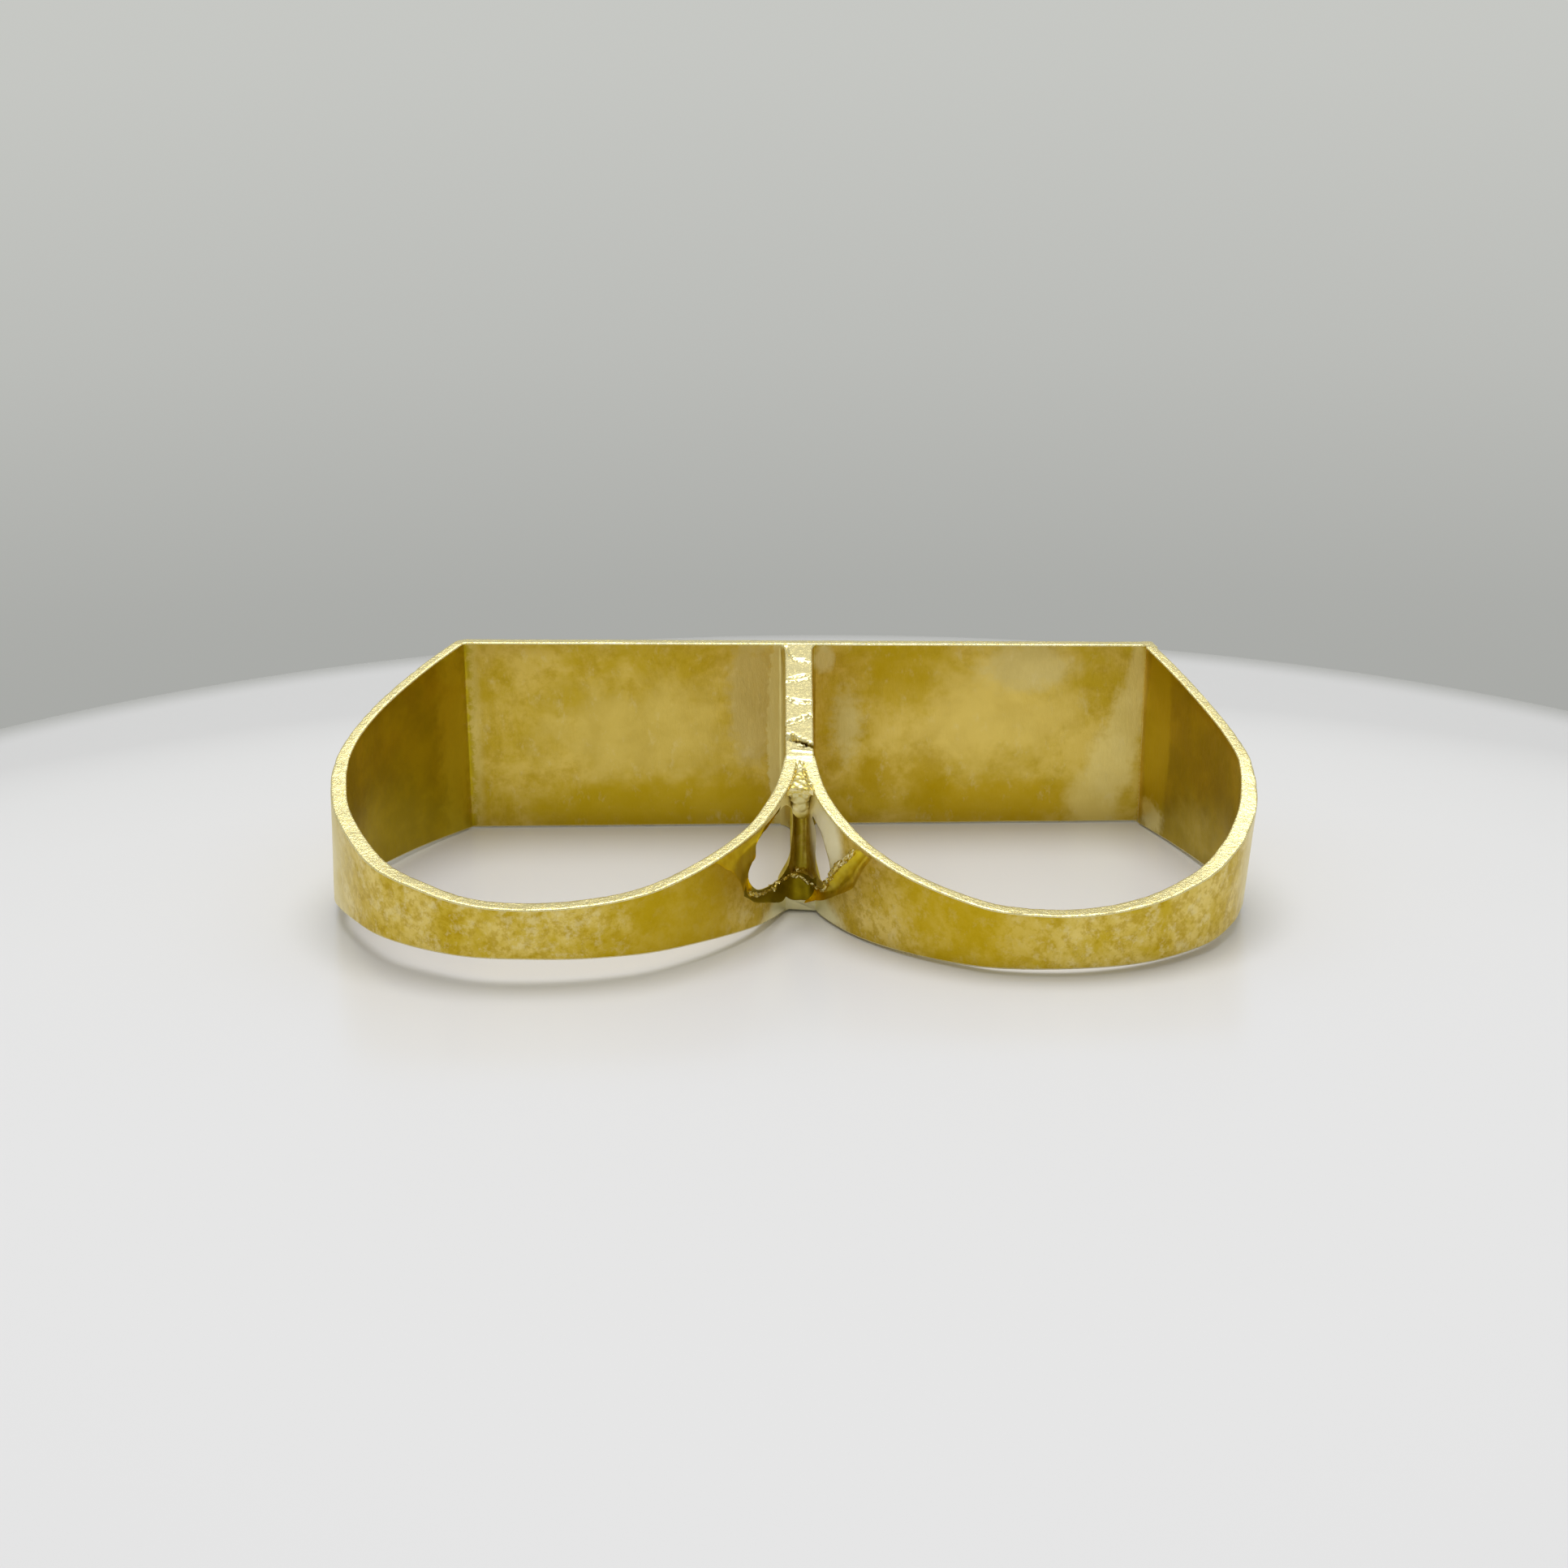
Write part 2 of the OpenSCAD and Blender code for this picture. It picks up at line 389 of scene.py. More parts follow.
# A cut reaches this many half widths, and its depth and width vary by these shares
CUT_REACH = 3
CUT_DEPTH_SPREAD = 0.5
CUT_WIDTH_SPREAD = 0.9
# Ridge behind the last cut
LAST_RIDGE = [(-0.66, -8.06), (0.2, -8.2)]
RIDGE_HEIGHT = 0.035
RIDGE_WIDTH = 0.07
# The top lies a little under the filed plane, and sinks further from a depth towards the fill
TOP_SINK = 0.012
FILL_SINK = 0.06
SINK_START = -8.45
SINK_RUN = 0.6
DIVIDER_WAVE = (0.004, 0.5)
DIVIDER_GRAIN = (0.002, 0.12)


def divider_top(x, y):
    """Height of the filed and cut top of the divider."""
    z = filed_plane(y) - TOP_SINK
    for line, depth, width in FILE_CUTS:
        d = near(x, y, line)
        if d < CUT_REACH * width:
            ragged = 1 + CUT_DEPTH_SPREAD * wobble(x, y, depth, 0.12)
            spread = width * (1 + CUT_WIDTH_SPREAD * wobble(x, y, 7, 0.1))
            z -= depth * ragged * math.exp(-((d / spread) ** 2))
    d = near(x, y, LAST_RIDGE)
    z += RIDGE_HEIGHT * math.exp(-((d / RIDGE_WIDTH) ** 2))
    z -= FILL_SINK * min(1.0, max(0.0, (SINK_START - y) / SINK_RUN))
    z += wave(x, y, 0, DIVIDER_WAVE) + wave(x, y, 4, DIVIDER_GRAIN)
    return z


# Segments along the divider and across its top
DIVIDER_STEPS = 250
TOP_STEPS = 26
# The end inside the plate, and how the sides flare out to it
DIVIDER_END = 0.2
DIVIDER_END_TOP = 4.27
FLARE = 0.22
FLARE_RUN = 0.14
RIGHT_FLARE = 0.8
FOOT_RISE = 0.134
# Drop and width of the rounded edges of the top
TOP_ROUND = 0.05
TOP_ROUND_WIDTH = 0.06
# The left side steps in by this much, between two depths under the top, a little off the plate
SLIM = 0.2
SLIM_RUN = 0.6
SLIM_HIGH = 0.5
SLIM_LOW = 1.1


def slimmed(y):
    """How far the divider's left side steps in."""
    if y < -SLIM_RUN:
        return SLIM
    if y < 0:
        return SLIM * y / -SLIM_RUN
    return 0


def divider_object(finish):
    """Bar from the plate to the notch, with a filed and cut top."""
    points = []
    for i in range(DIVIDER_STEPS + 1):
        y = DIVIDER_END + (-DIVIDER_L - DIVIDER_END) * i / DIVIDER_STEPS
        flare = FLARE * math.exp(y / FLARE_RUN) if y < 0 else FLARE
        left = DIVIDER_X - DIVIDER_T / 2 - flare
        right = DIVIDER_X + DIVIDER_T / 2 + flare * RIGHT_FLARE
        foot = -HALF_MIDDLE + max(0.0, -y) * FOOT_RISE
        for k in range(TOP_STEPS + 1):
            share = k / TOP_STEPS
            x = left + (right - left) * share
            edge = min(share, 1 - share) * (right - left)
            z = divider_top(x, y) - TOP_ROUND * max(0.0, 1 - edge / TOP_ROUND_WIDTH) ** 2
            points.append((x, y, DIVIDER_END_TOP if y > 0 else z))
        inner_left = left + slimmed(y)
        points.append((right, y, foot))
        points.append((inner_left, y, foot))
        points.append((inner_left, y, filed_plane(y) - SLIM_LOW))
        points.append((left, y, filed_plane(y) - SLIM_HIGH))
    loops = DIVIDER_STEPS + 1
    count = len(points) // loops
    faces = band(loops, count, turned=True) + ends(loops, count, turned=True)
    marks = ([0] * TOP_STEPS + [1] * (count - TOP_STEPS)) * DIVIDER_STEPS + [1, 1]
    return new_object("divider", points, faces, finish, marks)


# Depth in the notch, and half its width between the outer faces of the shanks
NOTCH = [(8.2, 0), (8.5, 0.05), (9.3, 0.13), (10.2, 0.32), (11.0, 0.53), (11.8, 0.85), (12.7, 1.2)]


def gap(y):
    """Half width of the notch."""
    depths, halves = zip(*NOTCH)
    return float(np.interp(-y, depths, halves))


# Segments along and across the solder in the notch
FILL_STEPS = 44
FILL_ACROSS = 18
FILL_BACK = -8.0
# How far the solder reaches into the walls
FILL_OVERLAP = 0.12
# Widths of its unevenness, the finer one's share of the height, and height and width at its front
FILL_WAVE = 0.16
FILL_GRAIN = 0.07
FILL_GRAIN_SHARE = 0.6
FRONT_WAVE = (0.05, 0.25)
# Groove where it meets the walls, which opens up past a half width of the notch
SEAM_DEPTH = 0.07
SEAM_WIDTH = 0.035
SEAM_START = 0.05
SEAM_SLOPE = 0.6


def fill_object(name, front, fillet, low, high, rough, finish):
    """Solder between the shanks: a wedge from the apex of the notch, hollow at its front."""
    points = []
    run = front - fillet - FILL_BACK
    for i in range(FILL_STEPS + 1):
        share = i / FILL_STEPS
        half = gap(FILL_BACK + run * share) + FILL_OVERLAP
        for k in range(FILL_ACROSS + 1):
            u = 2 * k / FILL_ACROSS - 1
            x = DIVIDER_X + half * u
            y = FILL_BACK + (front - fillet * u * u - FILL_BACK) * share
            y += wave(x, 3, 0, (FRONT_WAVE[0] * share, FRONT_WAVE[1]))
            z = high(y) + wave(x, y, 1, (rough, FILL_WAVE))
            z += wave(x, y, 5, (rough * FILL_GRAIN_SHARE, FILL_GRAIN))
            seam = gap(y) - abs(x - DIVIDER_X)
            groove = min(SEAM_DEPTH, SEAM_SLOPE * max(0.0, gap(y) - SEAM_START))
            z -= groove * math.exp(-((seam / SEAM_WIDTH) ** 2))
            points.append((x, y, z))
        for x, y, _ in points[: -FILL_ACROSS - 2 : -1]:
            points.append((x, y, low))
    loops = FILL_STEPS + 1
    count = len(points) // loops
    faces = band(loops, count, turned=True) + ends(loops, count, turned=True)
    return new_object(name, points, faces, [finish])


# Post between the windows: height, left and right side, front
POST = [
    (1.9, -0.66, 0.16, -9.75),
    (1.2, -0.68, 0.20, -9.80),
    (0.4, -0.70, 0.22, -9.72),
    (-0.5, -0.72, 0.24, -9.70),
    (-1.2, -0.78, 0.26, -9.75),
    (-1.6, -0.90, 0.30, -9.90),
    (-1.9, -1.05, 0.36, -10.05),
    (-2.3, -1.25, 0.45, -10.20),
    (-2.6, -1.30, 0.50, -10.25),
]
POST_AROUND = 40
POST_Y = -9.0
POST_BACK = 0.3
POST_WAVE = (0.025, 0.5)
# Crease down the front: depth, distance from the middle, width, and how far round it starts
CREASE_DEPTH = 0.07
CREASE_X = 0.05
CREASE_WIDTH = 0.05
CREASE_START = 0.3


def post_object(finish):
    """Solder post, rounded and creased at its front."""
    loops = []
    for z, left, right, front in smooth_rows(POST, 5):
        middle, half = (left + right) / 2, (right - left) / 2
        loop = []
        for k in range(POST_AROUND):
            a = 2 * math.pi * k / POST_AROUND
            x = middle + half * math.cos(a)
            deep = POST_Y - front if math.sin(a) > 0 else POST_BACK
            y = POST_Y - deep * math.sin(a)
            if math.sin(a) > CREASE_START:
                y += CREASE_DEPTH * math.exp(-(((x - middle - CREASE_X) / CREASE_WIDTH) ** 2))
            y += wave(x, z, 3, POST_WAVE)
            loop.append((x, y, z))
        loops.append(loop)
    return ribbon("post", loops, finish)


# Solder under the fill: centre, radii, unevenness
SOLDER_LUMPS = [
    ((-0.58, -10.50, 2.16), (0.26, 0.26, 0.20), 0.18),
    ((-0.18, -10.52, 2.14), (0.24, 0.26, 0.22), 0.18),
    ((-0.38, -10.36, 1.92), (0.40, 0.36, 0.28), 0.12),
    ((-0.34, -10.16, 1.56), (0.36, 0.42, 0.36), 0.12),
    ((-0.30, -9.95, 1.20), (0.40, 0.30, 0.40), 0.08),
]
# Bumps of the unevenness across a radius
LUMPS_PER_RADIUS = 2.2


def blob_object(name, centre, radii, lump, finish, seed=0.0, rings=20):
    """Uneven rounded lump."""
    around = rings * 3 // 2
    loops = []
    for i in range(1, rings):
        polar = math.pi * i / rings
        loop = []
        for k in range(around):
            a = 2 * math.pi * k / around
            d = Vector((math.sin(polar) * math.cos(a), math.sin(polar) * math.sin(a), math.cos(polar)))
            r = 1 + lump * noise.noise(d * LUMPS_PER_RADIUS + Vector((seed, 0, seed)))
            loop.append(tuple(centre[j] + radii[j] * d[j] * r for j in range(3)))
        loops.append(loop[::-1])
    return ribbon(name, loops, finish)


# The burr came in from the palm, tipped down by this much, and ran from one depth to the other
BURR_PITCH = 25
BURR_START = -17.0
BURR_END = -6.0
BURR_STEPS = 40
# Height and width of the marks that it left in the windows and in the scoops
CHATTER = (0.02, 0.25)
SCOOP_CHATTER = (0.015, 0.3)


def burr_point(across, up, along):
    """Point in ring axes from the burr's own axes: across, up, and along its shaft."""
    c, s = math.cos(math.radians(BURR_PITCH)), math.sin(math.radians(BURR_PITCH))
    return (across, along * c + up * s, up * c - along * s)


# Outlines of the two windows as seen along the burr: across, up
LEFT_WINDOW = [
    (-0.67, -3.10), (-0.67, -3.88), (-0.76, -4.86), (-0.85, -5.41), (-1.20, -5.95),
    (-1.53, -6.16), (-1.92, -6.32), (-2.17, -6.28), (-2.40, -5.98), (-2.43, -5.62),
    (-2.30, -5.26), (-2.15, -4.98), (-2.12, -4.54), (-1.90, -4.12), (-1.62, -3.76),
    (-1.20, -3.18), (-0.95, -2.96),
]
RIGHT_WINDOW = [
    (0.14, -3.40), (0.46, -4.05), (0.66, -4.72), (0.80, -5.30), (0.82, -5.72),
    (0.62, -6.08), (0.40, -5.95), (0.27, -5.60), (0.24, -4.80), (0.26, -4.10), (0.14, -3.55),
]


def signed_area(outline):
    """Twice the area of an outline, below 0 where it runs clockwise."""
    return sum(a[0] * b[1] - b[0] * a[1] for a, b in zip(outline, [*outline[1:], outline[0]]))


def tunnel(name, outline, finish):
    """Body of a straight hole along the burr, with a slightly chattered wall."""
    fine = smooth_rows([*outline, outline[0]], 5)[:-1]
    if signed_area(fine) < 0:
        fine = fine[::-1]
    loops = []
    for i in range(BURR_STEPS + 1):
        along = BURR_START + (BURR_END - BURR_START) * i / BURR_STEPS
        loops.append(
            [
                burr_point(
                    across + wave(across, up, along, CHATTER),
                    up + wave(across, up, along + 7, CHATTER),
                    along,
                )
                for across, up in fine
            ]
        )
    return ribbon(name, loops[::-1], finish)


# Three scoops that the burr left in the notch: points of the rim, then of the crest, in mm
LEFT_SCOOP = [
    (-3.75, -15.98, 1.72, -1.45, -11.40, 2.10),
    (-3.55, -15.76, 1.55, -1.72, -12.11, 1.60),
    (-3.31, -15.47, 1.25, -1.91, -12.59, 1.37),
    (-3.09, -15.21, 0.99, -2.10, -13.03, 1.19),
    (-2.91, -14.98, 0.66, -2.14, -13.15, 0.73),
    (-2.75, -14.77, 0.31, -2.29, -13.42, 0.45),
    (-2.63, -14.61, -0.06, -2.42, -13.65, 0.14),
    (-2.54, -14.48, -0.34, -2.45, -13.70, -0.26),
    (-2.41, -14.30, -0.65, -2.38, -13.58, -0.70),
    (-2.22, -14.00, -0.95, -2.20, -13.35, -0.98),
]
MIDDLE_SCOOP = [
    (-2.60, -14.60, -0.40, -2.55, -13.95, -0.30),
    (-2.41, -14.30, -0.65, -2.42, -13.75, -0.62),
    (-2.16, -13.91, -1.02, -2.15, -13.25, -1.00),
    (-1.68, -13.01, -1.49, -1.59, -11.91, -1.44),
    (-1.20, -11.80, -2.11, -1.20, -10.90, -1.60),
    (-0.80, -11.30, -2.37, -0.80, -10.38, -1.62),
    (-0.38, -11.25, -2.39, -0.42, -10.22, -1.68),
    (0.02, -11.30, -2.37, -0.02, -10.42, -1.88),
    (0.30, -11.60, -2.12, 0.28, -10.95, -1.85),
]
RIGHT_SCOOP = [
    (2.35, -14.84, 1.32, 1.85, -14.24, 1.50),
    (2.17, -14.63, 0.93, 1.67, -13.99, 1.25),
    (1.99, -14.41, 0.50, 1.49, -13.72, 0.87),
    (1.84, -14.22, 0.08, 1.24, -13.34, 0.46),
    (1.69, -14.01, -0.35, 1.02, -12.96, 0.02),
    (1.38, -13.56, -0.76, 0.84, -12.62, -0.48),
    (1.07, -13.04, -1.17, 0.69, -12.31, -0.96),
    (0.60, -12.12, -1.83, 0.50, -11.88, -1.36),
    (0.31, -11.39, -2.23, 0.31, -11.38, -1.62),
    (0.10, -10.90, -2.50, 0.14, -10.95, -1.85),
]
# Segments from one row of a scoop's table to the next, and from rim to crest
SCOOP_STEPS = 7
SCOOP_BENDS = 14


def scoop(name, rows, sag, out, reach, finish):
    """Body that the burr has taken away, hollow by sag and open outwards by reach."""
    out = Vector(out).normalized()
    chatter, width = SCOOP_CHATTER
    loops = []
    for row in smooth_rows(rows, SCOOP_STEPS):
        rim, crest = Vector(row[:3]), Vector(row[3:])
        loop = [rim + out * reach]
        for k in range(SCOOP_BENDS + 1):
            t = k / SCOOP_BENDS
            p = rim.lerp(crest, t) - out * sag * 4 * t * (1 - t)
            loop.append(p + out * chatter * wobble(*p, width))
        loop.append(crest + out * reach)
        loops.append([tuple(p) for p in loop])
    return ribbon(name, loops, finish)


def volume(piece):
    mesh = piece.data
    mesh.calc_loop_triangles()
    total = 0.0
    for t in mesh.loop_triangles:
        a, b, c = (mesh.vertices[v].co for v in t.vertices)
        total += a.dot(b.cross(c)) / 6
    return total


def outward(piece):
    """Turns the faces of a closed body outwards."""
    if volume(piece) < 0:
        piece.data.flip_normals()
    return piece


def combine(base, others, operation):
    """Adds the other bodies to the base or cuts them from it, with their finishes."""
    for other in others:
        outward(other)
        m = base.modifiers.new("combine", "BOOLEAN")
        m.operation = operation
        m.solver = "MANIFOLD"
        m.material_mode = "TRANSFER"
        m.object = other
        graph = bpy.context.evaluated_depsgraph_get()
        made = bpy.data.meshes.new_from_object(base.evaluated_get(graph), depsgraph=graph)
        base.modifiers.clear()
        base.data = made
        bpy.data.objects.remove(other)
    return base


# Loose parts of fewer points than this are crumbs
CRUMB_POINTS = 300


def drop_crumbs(piece):
    """Removes the small loose bits that the cuts have left."""
    form = bmesh.new()
    form.from_mesh(piece.data)
    left = set(form.verts)
    crumbs = []
    while left:
        part = [left.pop()]
        for point in part:
            for edge in point.link_edges:
                other = edge.other_vert(point)
                if other in left:
                    left.remove(other)
                    part.append(other)
        if len(part) < CRUMB_POINTS:
            crumbs += part
    bmesh.ops.delete(form, geom=crumbs, context="VERTS")
    form.to_mesh(piece.data)
    form.free()


# Lines of torn metal at the crests: points, and length and width of the grains in mm
TORN_EDGES = [
    (
        [
            (-2.38, -13.62, -0.75), (-2.15, -13.25, -1.00), (-1.87, -12.60, -1.24), (-1.59, -11.91, -1.44),
            (-1.20, -10.95, -1.58), (-0.80, -10.40, -1.60), (-0.45, -10.22, -1.64),
        ],
        0.20,
        0.072,
    ),
    ([(-2.36, -13.62, -0.80), (-2.25, -13.45, -0.93)], 0.13, 0.10),
    ([(-0.45, -10.22, -1.66), (-0.50, -10.15, -1.40)], 0.08, 0.06),
    (
        [(-0.38, -10.25, -1.72), (-0.02, -10.46, -1.86), (0.25, -10.95, -1.82), (0.50, -11.60, -1.66)],
        0.16,
        0.06,
    ),
    (
        [
            (0.60, -12.10, -1.20), (0.84, -12.62, -0.48), (1.02, -12.96, 0.02), (1.24, -13.34, 0.46),
            (1.49, -13.72, 0.87), (1.67, -13.99, 1.25),
        ],
        0.18,
        0.10,
    ),
]
# How far grains turn from their line, move off it in widths, and differ in size, and their lumps
GRAIN_TURN = 0.9
GRAIN_SHIFT = 1.1
GRAIN_SPREAD = 0.7
GRAIN_LUMP = 0.5
GRAIN_RINGS = 10
SEED_STEP = 1.37


def shaky(seed):
    """Repeatable direction with each part between about -0.5 and 0.5."""
    return Vector([noise.noise(Vector((seed, 5.3 * axis, 2.1))) for axis in range(3)])


def torn_edges(finish):
    """Curled grains strung along the crests."""
    made = []
    seed = 0.0
    for line, length, width in TORN_EDGES:
        fine = [Vector(p) for p in smooth_rows(line, 5)]
        for i, p in enumerate(fine):
            seed += SEED_STEP
            run = fine[min(i + 1, len(fine) - 1)] - fine[max(i - 1, 0)]
            turn = (run.normalized() + GRAIN_TURN * shaky(seed)).to_track_quat("Z", "Y").to_matrix()
            size = 1 + GRAIN_SPREAD * noise.noise(Vector((seed, seed, 0)))
            radii = (width * size, width * size, length * size)
            grain = blob_object("grain", (0, 0, 0), radii, GRAIN_LUMP, finish, seed, GRAIN_RINGS)
            shift = GRAIN_SHIFT * width * shaky(seed + 40)
            grain.data.transform(Matrix.Translation(p + shift) @ turn.to_4x4())
            made.append(grain)
    return made


# Outline of the filled corner, from the plate's right end and inner face, and its shortening
MITRE = [
    (-0.1, PLATE_T - 0.01), (-0.1, 0.01), (0.0, 0.0), (0.03, -0.15), (0.3, -0.25),
    (0.505, -0.17), (0.445, -0.05), (0.33, PLATE_T - 0.05), (0.2, PLATE_T - 0.01),
]
MITRE_TRIM = 0.01


def mitre_object(finish):
    """Solder in the mitred corner between the plate and the right panel."""
    outline = [(PLATE_W / 2 + x, y) for x, y in MITRE]
    return prism("mitre", outline, -HALF_RIGHT + MITRE_TRIM, HALF_RIGHT - MITRE_TRIM, finish)


def top_fill_object(finish):
    """Solder in the upper part of the notch, filed with the edges."""
    return fill_object("top_fill", -10.72, 0.15, 2.2, lambda y: filed_plane(y) - 0.05, 0.03, finish)


def web_object(finish):
    """Solder low in the notch, below the windows."""
    return fill_object("web", -10.85, 0.5, -2.8, lambda y: -1.5, 0.02, finish)


def burr_cuts(ground, dark, shaded):
    """The three scoops and the two windows."""
    return [
        scoop("left_scoop", LEFT_SCOOP, 0.06, (0.85, -0.53, 0.0), 0.8, ground),
        scoop("right_scoop", RIGHT_SCOOP, 0.22, (-0.85, -0.53, 0.0), 0.6, ground),
        # The middle scoop's gold carries painted shade
        scoop("middle_scoop", MIDDLE_SCOOP, 0.12, (0.0, -0.45, 0.9), 1.1, dark),
        tunnel("left_window", LEFT_WINDOW, shaded),
        tunnel("right_window", RIGHT_WINDOW, shaded),
    ]


def ring_object(mats):
    """The whole ring as one body."""
    walls = [mats["outer"], mats["edge"], mats["inner"]]
    ring = outward(wall_object("ring_body", left_rows(), LEFT_SIDE, walls))
    added = [
        wall_object("right", right_rows(), RIGHT_SIDE, walls),
        mitre_object(mats["edge"]),
        divider_object([mats["filed"], mats["inner"]]),
        top_fill_object(mats["torn"]),
        web_object(mats["outer"]),
    ]
    combine(ring, added, "UNION")
    combine(ring, burr_cuts(mats["ground"], mats["dark"], mats["post"]), "DIFFERENCE")
    post = post_object(mats["post"])
    solder = [blob_object("solder", *lump, mats["post"]) for lump in SOLDER_LUMPS]
    grains = torn_edges(mats["torn"])
    combine(outward(grains[0]), grains[1:], "UNION")
    combine(ring, [post, *solder, grains[0]], "UNION")
    drop_crumbs(ring)
    return ring


SHARP_EDGE = 40


def place(piece):
    """Notes each point's place in ring axes for the materials, then lays the ring down in metres."""
    mesh = piece.data
    co = np.zeros(len(mesh.vertices) * 3, np.float32)
    mesh.vertices.foreach_get("co", co)
    mesh.attributes.new("ring_mm", "FLOAT_VECTOR", "POINT").data.foreach_set("vector", co)
    rest = (
        Matrix.Translation(REST_PLACE)
        @ Matrix.Rotation(math.radians(REST_TILT), 4, "X")
        @ Matrix.Rotation(math.radians(REST_ROLL), 4, "Y")
    )
    mesh.transform(Matrix.Scale(MM, 4) @ rest)
    mesh.polygons.foreach_set("use_smooth", [True] * len(mesh.polygons))
    mesh.set_sharp_from_angle(angle=math.radians(SHARP_EDGE))
    mesh.update()
    return rest


class Shader:
    """A material's node tree with short calls for the nodes used here."""

    def __init__(self, name):
        self.material = bpy.data.materials.new(name)
        self.material.use_nodes = True
        self.tree = self.material.node_tree
        self.tree.nodes.clear()
        out = self.tree.nodes.new("ShaderNodeOutputMaterial")
        self.surface = self.tree.nodes.new("ShaderNodeBsdfPrincipled")
        self.tree.links.new(self.surface.outputs["BSDF"], out.inputs["Surface"])
        spot = self.tree.nodes.new("ShaderNodeAttribute")
        spot.attribute_name = "ring_mm"
        self.place = spot.outputs["Vector"]

    def put(self, socket, value):
        """Links an output to a socket, or sets a number or colour on it."""
        if isinstance(value, bpy.types.NodeSocket):
            self.tree.links.new(value, socket)
        else:
            socket.default_value = value

    def math(self, operation, a, b):
        n = self.tree.nodes.new("ShaderNodeMath")
        n.operation = operation
        self.put(n.inputs[0], a)
        self.put(n.inputs[1], b)
        return n.outputs[0]

    def vector(self, operation, a, b=None):
        """Vector maths. Its node's outputs are Vector and Value."""
        n = self.tree.nodes.new("ShaderNodeVectorMath")
        n.operation = operation
        self.put(n.inputs[0], a)
        if b is not None:
            self.put(n.inputs[1], b)
        return n.outputs

    def noise(self, scale, detail=3.0, rough=0.5, stretch=(1, 1, 1), shift=(0, 0, 0), warp=0.0):
        """Noise in ring axes: scale is bumps per mm."""
        m = self.tree.nodes.new("ShaderNodeMapping")
        m.inputs["Scale"].default_value = stretch
        m.inputs["Location"].default_value = shift
        self.put(m.inputs["Vector"], self.place)
        n = self.tree.nodes.new("ShaderNodeTexNoise")
        n.inputs["Scale"].default_value = scale
        n.inputs["Detail"].default_value = detail
        n.inputs["Roughness"].default_value = rough
        n.inputs["Distortion"].default_value = warp
        self.put(n.inputs["Vector"], m.outputs[0])
        return n.outputs["Fac"]

    def step(self, value, low, high, to_low=0.0, to_high=1.0):
        """Smooth step of a value from low to high."""
        n = self.tree.nodes.new("ShaderNodeMapRange")
        n.interpolation_type = "SMOOTHSTEP"
        self.put(n.inputs["Value"], value)
        for name, v in (("From Min", low), ("From Max", high), ("To Min", to_low), ("To Max", to_high)):
            n.inputs[name].default_value = v
        return n.outputs[0]

    def axis(self, index):
        """One of the ring's axes: 0, 1 or 2."""
        n = self.tree.nodes.new("ShaderNodeSeparateXYZ")
        self.put(n.inputs[0], self.place)
        return n.outputs[index]

    def near(self, centre, radii, soft=0.5, ragged=0.35, scale=0.9):
        """1 inside an ellipsoid of the ring and 0 outside, with a ragged soft rim."""
        away = self.vector("SUBTRACT", self.place, centre)["Vector"]
        size = self.vector("LENGTH", self.vector("DIVIDE", away, radii)["Vector"])["Value"]
        rim = self.math("MULTIPLY", self.math("SUBTRACT", self.noise(scale, 3, 0.6), 0.5), 2 * ragged)
        return self.step(self.math("ADD", size, rim), 1 + soft, 1 - soft)

    def mix(self, share, a, b):
        n = self.tree.nodes.new("ShaderNodeMix")
        n.data_type = "RGBA"
        self.put(n.inputs[0], share)
        self.put(n.inputs[6], a if isinstance(a, bpy.types.NodeSocket) else (*a, 1))
        self.put(n.inputs[7], b if isinstance(b, bpy.types.NodeSocket) else (*b, 1))
        return n.outputs[2]

    def bump(self, height, strength, distance=0.00005):
        n = self.tree.nodes.new("ShaderNodeBump")
        n.inputs["Strength"].default_value = strength
        n.inputs["Distance"].default_value = distance
        self.put(n.inputs["Height"], height)
        return n.outputs[0]

    def finish(self, colour, rough, normal):
        self.surface.inputs["Metallic"].default_value = 1.0
        self.put(self.surface.inputs["Base Color"], colour)
        self.put(self.surface.inputs["Roughness"], rough)
        self.put(self.surface.inputs["Normal"], normal)
        return self.material


OLIVE = (0.64, 0.46, 0.03)
BROWN = (0.48, 0.31, 0.002)
TAN = (0.80, 0.61, 0.15)
CREAM = (0.84, 0.72, 0.34)
BRIGHT = (0.84, 0.74, 0.38)
